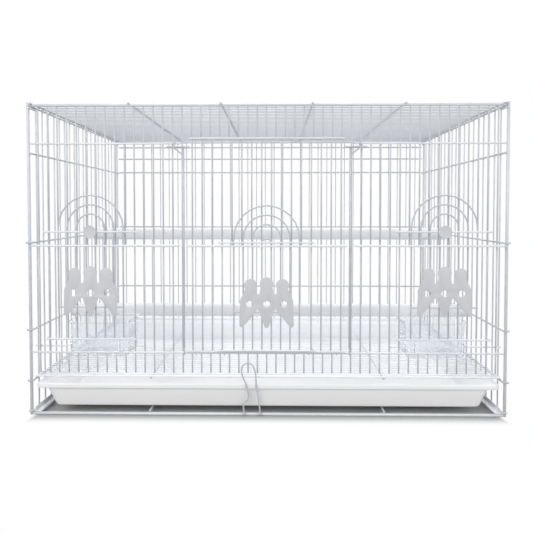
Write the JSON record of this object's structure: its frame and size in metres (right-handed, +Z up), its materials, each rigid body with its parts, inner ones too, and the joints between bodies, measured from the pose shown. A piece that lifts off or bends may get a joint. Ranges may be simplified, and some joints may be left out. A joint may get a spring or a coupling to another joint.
{
  "type": "canary breeding cage",
  "caption": "Box-shaped wire breeding cage with a drop-down front door, sliding feeder doors, perches, hanging feeder cups, a wire floor and a pull-out tray.",
  "frame": {"origin": "on the table, midway between the four corner posts", "axes": "-Y out through the front with the doors, +X to the right seen from the front, +Z up"},
  "size_m": [0.613, 0.4195, 0.4003],
  "materials": {
    "coated_wire": "smooth white coating, satin",
    "stamped_plate": "smooth white coating, satin",
    "white_plastic": "moulded, soft gloss",
    "perch_plastic": "moulded, matt",
    "clear_plastic": "clear, polished"
  },
  "bodies": {
    "cage": {"front_top_rim": "coated_wire", "front_bottom_rim": "coated_wire", "back_top_rim": "coated_wire", "back_bottom_rim": "coated_wire", "front_left_post": "coated_wire", "front_right_post": "coated_wire", "back_left_post": "coated_wire", "back_right_post": "coated_wire", "front_lower_grille": "coated_wire", "front_left_upper_grille": "coated_wire", "front_right_upper_grille": "coated_wire", "front_left_outer_wires": "coated_wire", "front_right_outer_wires": "coated_wire", "front_left_inner_wires": "coated_wire", "front_right_inner_wires": "coated_wire", "front_left_jamb_wire": "coated_wire", "front_right_jamb_wire": "coated_wire", "front_centre_header": "coated_wire", "floor_grille": "coated_wire", "left_side_grille": "coated_wire", "right_side_grille": "coated_wire", "back_grille": "coated_wire", "top_grille": "coated_wire", "base_cross_wires": "coated_wire", "left_runner": "coated_wire", "right_runner": "coated_wire", "upper_perch": "perch_plastic", "lower_perch": "perch_plastic", "left_feeder_cup": "clear_plastic", "right_feeder_cup": "clear_plastic", "left_cup_holder": "coated_wire", "right_cup_holder": "coated_wire"},
    "left_feeder_door": {"left_door_wires": "coated_wire", "left_door_bird_plate": "stamped_plate", "left_door_finger_plate": "stamped_plate"},
    "right_feeder_door": {"right_door_wires": "coated_wire", "right_door_bird_plate": "stamped_plate", "right_door_finger_plate": "stamped_plate"},
    "centre_door": {"centre_door_upper_grille": "coated_wire", "centre_door_left_wires": "coated_wire", "centre_door_right_wires": "coated_wire", "centre_door_bottom_rail": "coated_wire", "centre_door_left_rod": "coated_wire", "centre_door_right_rod": "coated_wire"},
    "small_door": {"small_door_wires": "coated_wire", "small_door_bird_plate": "stamped_plate"},
    "tray": {"tray": "white_plastic"},
    "tray_clip": {"tray_clip": "coated_wire"}
  },
  "joints": [
    {"name": "left_feeder_door_lift", "type": "slide", "parent": "cage", "child": "left_feeder_door", "axis": [0, 0, 1], "range_m": [0, 0.106]},
    {"name": "right_feeder_door_lift", "type": "slide", "parent": "cage", "child": "right_feeder_door", "axis": [0, 0, 1], "range_m": [0, 0.106]},
    {"name": "centre_door_drop", "type": "hinge", "parent": "cage", "child": "centre_door", "pos_m": [0, -0.2019, 0.0815], "axis": [1, 0, 0], "range_deg": [0, 100]},
    {"name": "small_door_lift", "type": "slide", "parent": "centre_door", "child": "small_door", "axis": [0, 0, 1], "range_m": [0, 0.126]},
    {"name": "tray_pull", "type": "slide", "parent": "cage", "child": "tray", "axis": [0, -1, 0], "range_m": [0, 0.38]},
    {"name": "tray_clip_swing", "type": "hinge", "parent": "tray", "child": "tray_clip", "pos_m": [0, -0.20345, 0.003], "axis": [1, 0, 0], "range_deg": [0, 90]}
  ]
}
